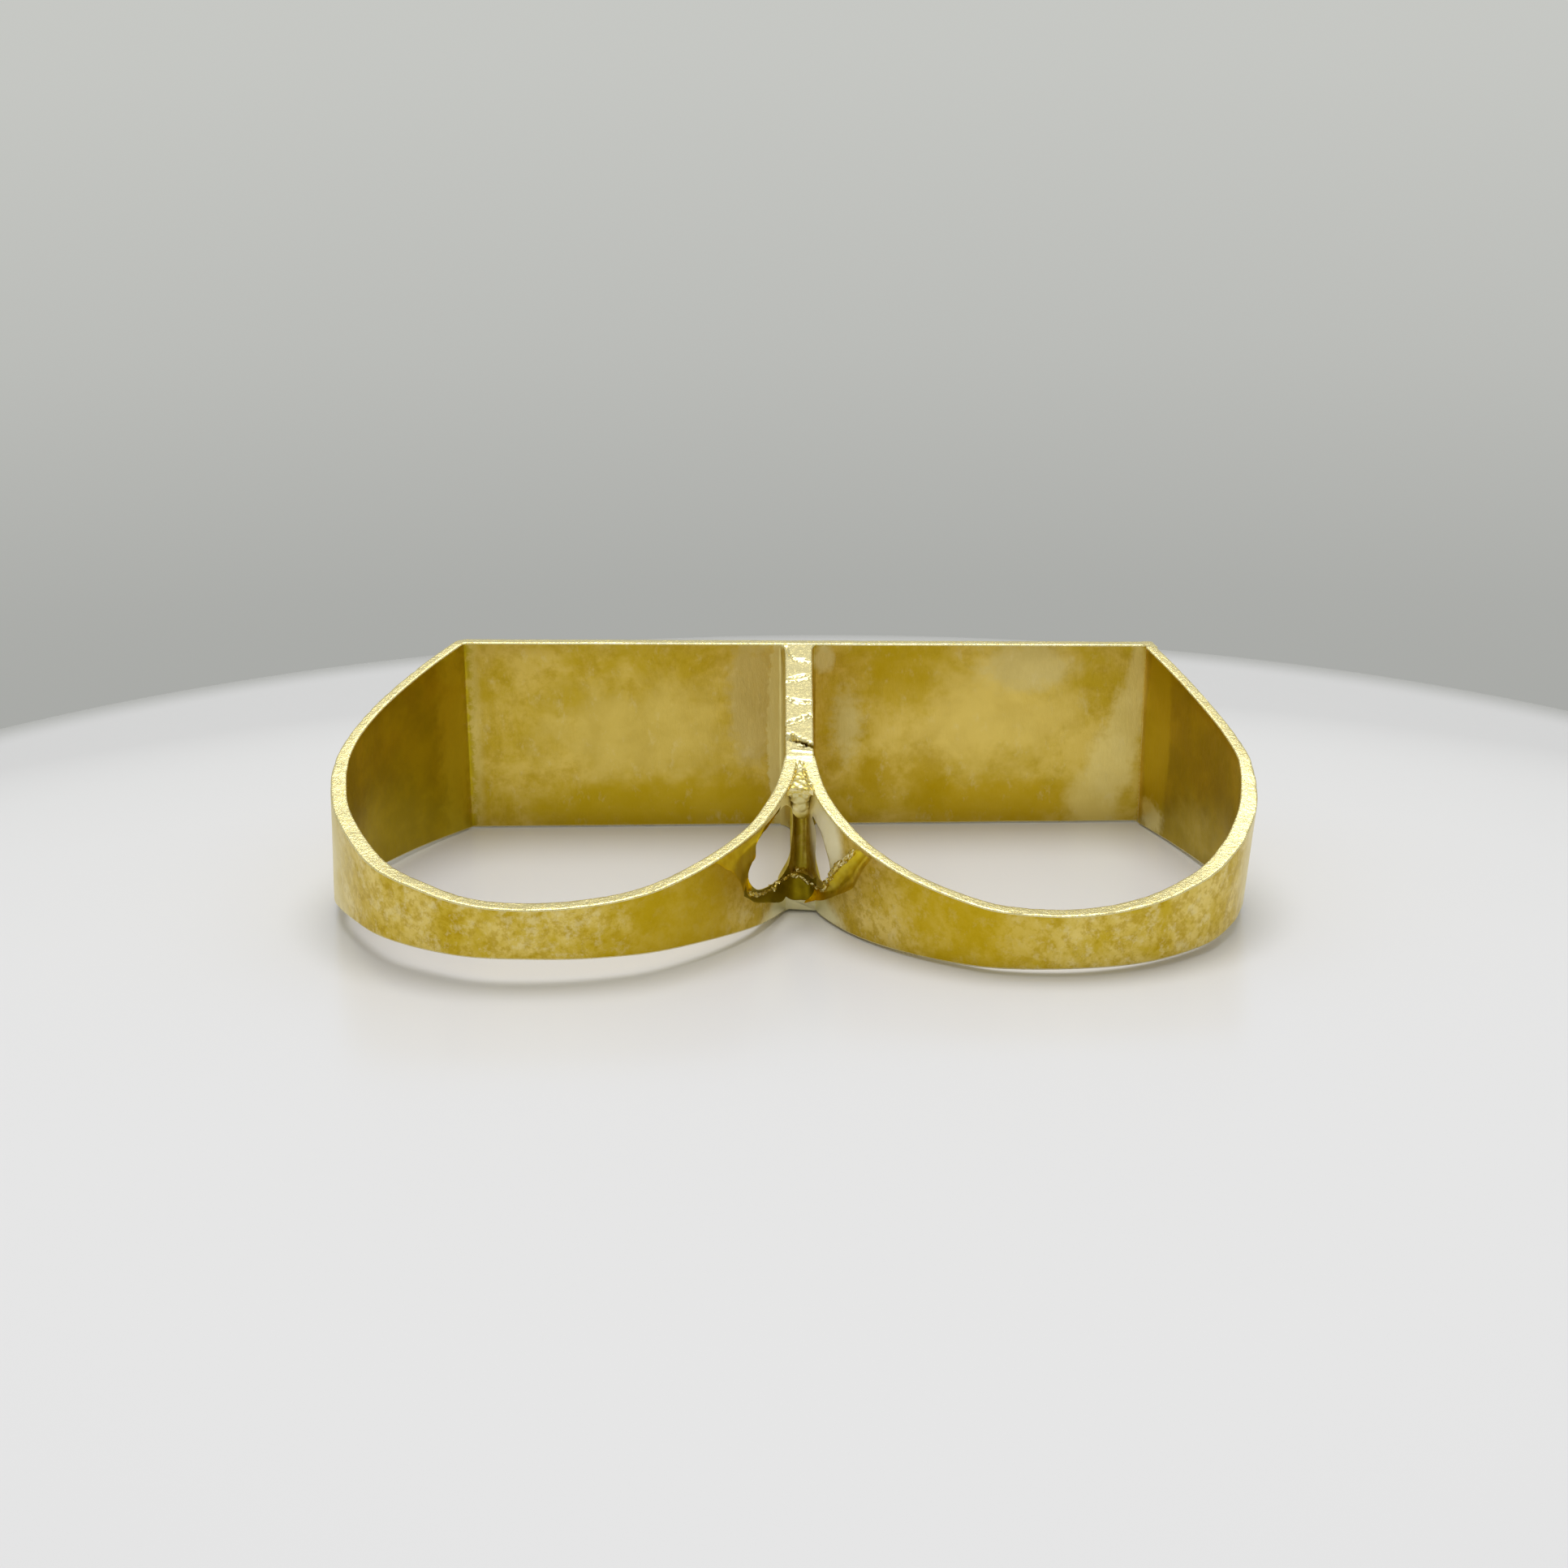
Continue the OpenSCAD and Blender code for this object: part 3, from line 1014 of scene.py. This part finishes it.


# Lighter and darker patches on the inside of the plate, darker along its bottom, and a painted highlight
# down the left fold: centre, radii, softness, raggedness, colour, share
PLATE_PATCHES_AND_HIGHLIGHT = [
    ((-7.0, 0, 0.2), (4.4, 1, 2.2), 0.5, 0.9, (0.74, 0.57, 0.13), 0.8),
    ((-6.3, 0, -3.4), (5.4, 1, 1.3), 0.5, 0.8, (0.60, 0.42, 0.01), 0.85),
    ((-2.4, 0, 1.6), (1.0, 1, 2.9), 0.3, 0.6, (0.70, 0.56, 0.20), 0.8),
    ((-1.1, 0, 0), (0.62, 1.5, 5.5), 0.08, 0.35, (0.82, 0.70, 0.28), 0.9),
    # Painted highlight down the rounded left fold
    ((-14.45, 0, 0.2), (0.28, 1, 5.2), 0.8, 0.5, (0.84, 0.70, 0.24), 0.55),
    ((7.5, 0, 0.8), (4.4, 1, 2.4), 0.5, 0.9, (0.84, 0.65, 0.16), 0.85),
    ((8.5, 0, -3.3), (4.0, 1, 1.1), 0.5, 0.8, (0.62, 0.42, 0.01), 0.85),
    ((9.5, 0, 3.2), (1.9, 1, 1.1), 0.4, 0.6, (0.76, 0.64, 0.26), 0.7),
    ((4.0, 0, 2.6), (1.5, 1, 1.5), 0.5, 1.2, (0.60, 0.42, 0.01), 0.7),
    ((3.1, 0, -1.9), (0.9, 1, 0.9), 0.6, 0.9, (0.54, 0.36, 0.004), 0.75),
    ((5.2, 0, -2.0), (0.9, 1, 1.3), 0.6, 0.9, (0.54, 0.36, 0.004), 0.65),
    ((1.7, 0, 0.5), (0.6, 1, 1.5), 0.6, 0.8, (0.82, 0.72, 0.32), 0.65),
    ((0.7, 0, 3.6), (0.45, 0.5, 0.6), 0.3, 0.4, (0.90, 0.80, 0.40), 0.7),
    ((12.5, 0, -3.2), (1.1, 1, 1.5), 0.4, 0.5, (0.86, 0.70, 0.22), 0.8),
    ((13.2, 0, -1.4), (0.95, 1, 1.6), 0.35, 0.5, (0.88, 0.73, 0.26), 0.8),
    ((13.8, 0, 0.4), (0.7, 1, 1.8), 0.35, 0.5, (0.88, 0.73, 0.26), 0.8),
    ((14.2, 0, 2.4), (0.4, 1, 2.0), 0.35, 0.4, (0.86, 0.70, 0.24), 0.8),
]
# Lighter and darker patches on the inside of the two bent panels, laid over their painted shade
PANEL_PATCHES = [
    ((-15.1, -0.9, 0), (0.75, 1.3, 6.0), 0.5, 0.6, (0.66, 0.51, 0.02), 0.8),
    ((15.3, -1.0, 0.5), (0.75, 1.5, 5.5), 0.12, 0.1, (0.62, 0.475, 0.003), 0.85),
    ((15.2, -1.1, -3.3), (0.8, 1.1, 0.75), 0.4, 0.6, (0.95, 0.86, 0.45), 0.85),
    ((17.3, -4.4, -2.0), (1.4, 2.2, 1.1), 0.6, 0.8, (0.64, 0.50, 0.09), 0.6),
]
# Darker patches at the palms and paler ones on the outer sides of the shanks, then painted reflections in
# the notch
OUTER_PATCHES_AND_REFLECTIONS = [
    ((-5.0, -16.6, 0.0), (3.6, 2.6, 3.0), 0.5, 0.5, (0.52, 0.35, 0.004), 0.85),
    ((6.0, -16.8, -0.5), (3.4, 2.6, 3.0), 0.5, 0.5, (0.60, 0.41, 0.008), 0.7),
    ((-18.8, -9.0, 0.0), (2.2, 5.0, 6.0), 0.4, 0.3, (0.84, 0.74, 0.40), 0.8),
    ((18.4, -9.0, 0.0), (2.4, 5.4, 6.0), 0.4, 0.3, (0.88, 0.78, 0.46), 0.85),
    # Painted reflections, nearly white: at the foot of the notch, right of the post and left of the post
    ((-0.38, -11.4, -2.5), (2.4, 2.4, 0.9), 0.35, 0.3, (1.0, 0.95, 0.62), 0.95),
    ((0.6, -11.9, 0.8), (0.95, 2.0, 1.9), 0.25, 0.1, (1.0, 0.95, 0.66), 0.95),
    ((-1.3, -11.7, 1.2), (0.9, 1.9, 1.4), 0.3, 0.2, (1.0, 0.92, 0.58), 0.9),
]
# Bumps of a patch's ragged rim across its smaller radius, which counts as this much at least
RIM_BUMPS = 1.6
SMALLEST_RIM = 0.5
# Where the painted shade of the panels takes over from the plate's colour, left and right
LEFT_PANEL_SHADE = (-14.4, -15.0)
RIGHT_PANEL_SHADE = (14.5, 14.7)


def patched(s, colour, patches):
    """Colour with the patches laid over it."""
    # Some patches are painted highlights and reflections, the rest lighter or darker tone
    for centre, radii, soft, ragged, tone, share in patches:
        scale = RIM_BUMPS / max(SMALLEST_RIM, min(radii[0], radii[2]))
        patch = s.math("MULTIPLY", s.near(centre, radii, soft, ragged, scale), share)
        colour = s.mix(patch, colour, tone)
    return colour


def inner_gold():
    """Clouded gold inside the holes, with painted shade that makes the bent panels darker than the plate.
    """
    s = Shader("inner_gold")
    cloud = s.step(s.noise(0.45, 5, 0.65, warp=0.4), 0.36, 0.66)
    colour = s.mix(s.math("MULTIPLY", cloud, 0.75), OLIVE, TAN)
    mottle = s.step(s.noise(1.6, 5, 0.7, shift=(3, 1, 7)), 0.45, 0.65)
    colour = s.mix(s.math("MULTIPLY", mottle, 0.35), colour, BROWN)
    colour = patched(s, colour, PLATE_PATCHES_AND_HIGHLIGHT)
    pale = s.step(s.noise(1.5, 5, 0.7, stretch=(1, 1, 0.6), shift=(9, 4, 2)), 0.54, 0.72)
    colour = s.mix(s.math("MULTIPLY", pale, 0.35), colour, CREAM)
    tone = s.step(s.noise(0.5, 4, 0.6, shift=(2, 2, 2)), 0.35, 0.7)
    # Painted shade: the panels get a darker, deeper gold than the plate, with their patches laid over it
    panel = patched(s, s.mix(tone, (0.41, 0.295, 0.001), (0.52, 0.375, 0.002)), PANEL_PATCHES)
    ragged_x = s.math("ADD", s.axis(0), s.math("MULTIPLY", s.math("SUBTRACT", mottle, 0.5), 0.5))
    colour = s.mix(s.step(ragged_x, *LEFT_PANEL_SHADE), colour, panel)
    colour = s.mix(s.step(s.axis(0), *RIGHT_PANEL_SHADE), colour, panel)
    rough = s.step(cloud, 0, 1, 0.42, 0.32)
    grain = s.noise(6, 5, 0.7, stretch=(1, 1, 0.35))
    return s.finish(colour, rough, s.bump(grain, 0.22))


def outer_gold():
    """Mottled gold on the outside of the plate, panels and shanks, with painted reflections in the notch.
    """
    s = Shader("outer_gold")
    cloud = s.step(s.noise(0.55, 5, 0.65, warp=0.3), 0.36, 0.66)
    colour = s.mix(cloud, OLIVE, (0.80, 0.63, 0.18))
    mottle = s.step(s.noise(2.4, 5, 0.7, shift=(5, 2, 7)), 0.44, 0.62)
    colour = s.mix(s.math("MULTIPLY", mottle, 0.6), colour, BROWN)
    pale = s.step(s.noise(1.6, 5, 0.75, shift=(1, 8, 2)), 0.50, 0.66)
    colour = s.mix(s.math("MULTIPLY", pale, 0.55), colour, CREAM)
    # Patches laid over it, among them painted reflections in the notch
    colour = patched(s, colour, OUTER_PATCHES_AND_REFLECTIONS)
    rough = s.step(cloud, 0, 1, 0.46, 0.36)
    grain = s.noise(7, 5, 0.7)
    return s.finish(colour, rough, s.bump(grain, 0.3))


def edge_gold(name, pitting, grain_height):
    """Bright filed gold, pitted and grainy, with painted shade in the deep cut across the divider."""
    s = Shader(name)
    speck = s.step(s.noise(9, 4, 0.7), 0.55, 0.62)
    colour = s.mix(s.math("MULTIPLY", speck, pitting), BRIGHT, (0.66, 0.50, 0.09))
    # Painted shade in the deep cut across the divider
    crevice_shade = s.near((-0.38, -7.4, 2.72), (0.9, 0.45, 0.27), 0.2, 0.2, 3.0)
    colour = s.mix(crevice_shade, colour, (0.20, 0.13, 0.005))
    grain = s.math("ADD", s.noise(13, 4, 0.6), s.noise(6, 3, 0.5))
    return s.finish(colour, s.step(speck, 0, 1, 0.26, 0.45), s.bump(grain, grain_height))


def plain_gold(name, low, high, clouds, rough, grain, grain_height):
    """Gold between two colours. clouds gives the noise and the step between them."""
    s = Shader(name)
    scale, detail, start, end = clouds
    colour = s.mix(s.step(s.noise(scale, detail, 0.5), start, end), low, high)
    return s.finish(colour, rough, s.bump(s.noise(grain, 3, 0.6), grain_height))


def ground_gold():
    """Deep yellow gold in the side scoops."""
    return plain_gold(
        "ground_gold", (0.72, 0.52, 0.004), (0.86, 0.68, 0.04), (1.2, 3, 0.35, 0.65), 0.32, 5, 0.10
    )


def torn_gold():
    """Torn bright metal at the crests and in the notch's filling."""
    return plain_gold("torn_gold", (0.66, 0.52, 0.12), BRIGHT, (5, 3, 0.42, 0.58), 0.26, 9, 0.2)


def dark_gold():
    """Dull gold in the middle scoop, darkened with painted shade."""
    # Painted shade: much darker than the ground gold of the side scoops
    return plain_gold(
        "dark_gold", (0.28, 0.21, 0.006), (0.38, 0.29, 0.01), (1.5, 3, 0.35, 0.65), 0.5, 5, 0.12
    )


def post_gold():
    """Dull olive solder, with a painted highlight that makes it pale at the top of the post."""
    s = Shader("post_gold")
    olive = s.mix(s.step(s.noise(1.6, 4, 0.6), 0.4, 0.65), (0.58, 0.47, 0.04), (0.74, 0.62, 0.14))
    # Painted highlight: the solder turns pale above the post's top
    pale = s.step(s.axis(2), 0.9, 1.3)
    return s.finish(s.mix(pale, olive, (0.92, 0.84, 0.45)), 0.58, s.bump(s.noise(4, 3, 0.6), 0.12))


# Round floor, in mm, with its colours in its middle and at its rim
FLOOR_R = 54.8
FLOOR_Y = -12.0
FLOOR_FADE = 3.5
FLOOR_AROUND = 240
FLOOR_WHITE = (0.742, 0.735, 0.757, 1)
FLOOR_RIM = (0.40, 0.40, 0.39, 1)
# Share of the radius, and height in mm
FLOOR_PROFILE = [(0.5, 0.0), (0.985, 0.0), (0.995, -0.25), (1.0, -1.0), (1.0, -8.0)]


def floor_white():
    """Glossy white that greys towards the rim, where the photo is out of focus."""
    material = bpy.data.materials.new("floor_white")
    material.use_nodes = True
    tree = material.node_tree
    surface = tree.nodes["Principled BSDF"]
    surface.inputs["Roughness"].default_value = 0.22
    spot = tree.nodes.new("ShaderNodeTexCoord")
    reach = tree.nodes.new("ShaderNodeVectorMath")
    reach.operation = "DISTANCE"
    reach.inputs[1].default_value = (0, FLOOR_Y * MM, 0)
    fade = tree.nodes.new("ShaderNodeMapRange")
    fade.interpolation_type = "SMOOTHSTEP"
    fade.inputs["From Min"].default_value = (FLOOR_R - FLOOR_FADE) * MM
    fade.inputs["From Max"].default_value = FLOOR_R * MM
    colour = tree.nodes.new("ShaderNodeMix")
    colour.data_type = "RGBA"
    colour.inputs[6].default_value = FLOOR_WHITE
    colour.inputs[7].default_value = FLOOR_RIM
    tree.links.new(spot.outputs["Object"], reach.inputs[0])
    tree.links.new(reach.outputs["Value"], fade.inputs["Value"])
    tree.links.new(fade.outputs[0], colour.inputs[0])
    tree.links.new(colour.outputs[2], surface.inputs["Base Color"])
    return material


def floor():
    """Plain round pale floor with a rounded rim."""
    points = []
    for share, z in FLOOR_PROFILE:
        for k in range(FLOOR_AROUND):
            a = 2 * math.pi * k / FLOOR_AROUND
            x = FLOOR_R * share * math.cos(a) * MM
            y = (FLOOR_Y + FLOOR_R * share * math.sin(a)) * MM
            points.append((x, y, z * MM))
    faces = [tuple(range(FLOOR_AROUND)), *band(len(FLOOR_PROFILE), FLOOR_AROUND, turned=True)]
    piece = new_object("floor", points, faces, [floor_white()])
    piece.data.polygons.foreach_set("use_smooth", [True] * len(piece.data.polygons))


# Grey of the studio from straight down at 0 to straight up at 1, and its tint
SKY_STOPS = [
    (0.0, 0.34), (0.36, 0.40), (0.378, 0.418), (0.416, 0.505), (0.459, 0.57), (0.5, 0.60), (1.0, 0.62)
]
SKY_TINT = (0.985, 1.0, 0.955)


def sky():
    """Soft studio grey, a little lighter upwards."""
    world = bpy.data.worlds.new("studio")
    bpy.context.scene.world = world
    world.use_nodes = True
    tree = world.node_tree
    spot = tree.nodes.new("ShaderNodeTexCoord")
    split = tree.nodes.new("ShaderNodeSeparateXYZ")
    ramp = tree.nodes.new("ShaderNodeValToRGB")
    scale = tree.nodes.new("ShaderNodeMath")
    scale.operation = "MULTIPLY_ADD"
    scale.inputs[1].default_value = 0.5
    scale.inputs[2].default_value = 0.5
    tree.links.new(spot.outputs["Generated"], split.inputs[0])
    tree.links.new(split.outputs["Z"], scale.inputs[0])
    tree.links.new(scale.outputs[0], ramp.inputs[0])
    points = ramp.color_ramp.elements
    points[0].position, points[1].position = SKY_STOPS[0][0], SKY_STOPS[-1][0]
    for at, _ in SKY_STOPS[1:-1]:
        points.new(at)
    for point, (_, light) in zip(points, SKY_STOPS):
        point.color = (*(light * tint for tint in SKY_TINT), 1)
    tree.links.new(ramp.outputs["Color"], tree.nodes["Background"].inputs["Color"])


# Round lamp over the ring, in metres and watts, aimed at the origin
SOFTBOX_PLACE = (0.0, 0.05, 0.40)
SOFTBOX_SIZE = 0.30
SOFTBOX_WATTS = 0.95


def softbox():
    """Soft light from above."""
    data = bpy.data.lights.new("softbox", "AREA")
    data.shape = "DISK"
    data.size = SOFTBOX_SIZE
    data.energy = SOFTBOX_WATTS
    piece = bpy.data.objects.new("softbox", data)
    bpy.context.scene.collection.objects.link(piece)
    piece.location = SOFTBOX_PLACE
    aim = Vector((0, 0, 0)) - Vector(SOFTBOX_PLACE)
    piece.rotation_euler = aim.to_track_quat("-Z", "Y").to_euler()


# Camera in ring axes, in mm and degrees
CAMERA_PLACE = (-1.01669, -124.76028, 55.84737)
CAMERA_PITCH = 25
CAMERA_ROLL = 0.17426
FOCAL_PIXELS = 3874
PHOTO_PIXELS = 1932
SENSOR = 36


def camera(rest):
    """The photo's camera, turned with the ring as it lies."""
    data = bpy.data.cameras.new("camera")
    data.sensor_width = SENSOR
    data.lens = SENSOR * FOCAL_PIXELS / PHOTO_PIXELS
    data.clip_start, data.clip_end = 0.001, 10
    piece = bpy.data.objects.new("camera", data)
    bpy.context.scene.collection.objects.link(piece)
    pitch = Matrix.Rotation(math.radians(90 - CAMERA_PITCH), 4, "X")
    roll = Matrix.Rotation(math.radians(-CAMERA_ROLL), 4, "Z")
    turned = rest @ Matrix.Translation(CAMERA_PLACE) @ (pitch @ roll)
    turned.translation *= MM
    piece.matrix_world = turned
    bpy.context.scene.camera = piece


finishes = {
    "outer": outer_gold(),
    "edge": edge_gold("edge_gold", 0.6, 0.45),
    "filed": edge_gold("filed_gold", 0.15, 0.12),
    "inner": inner_gold(),
    "ground": ground_gold(),
    "torn": torn_gold(),
    "post": post_gold(),
    "dark": dark_gold(),
}
ring = ring_object(finishes)
rest_matrix = place(ring)
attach(ring, "root")
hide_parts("ring")

floor()
sky()
softbox()
camera(rest_matrix)
bpy.context.scene.view_settings.view_transform = "Standard"
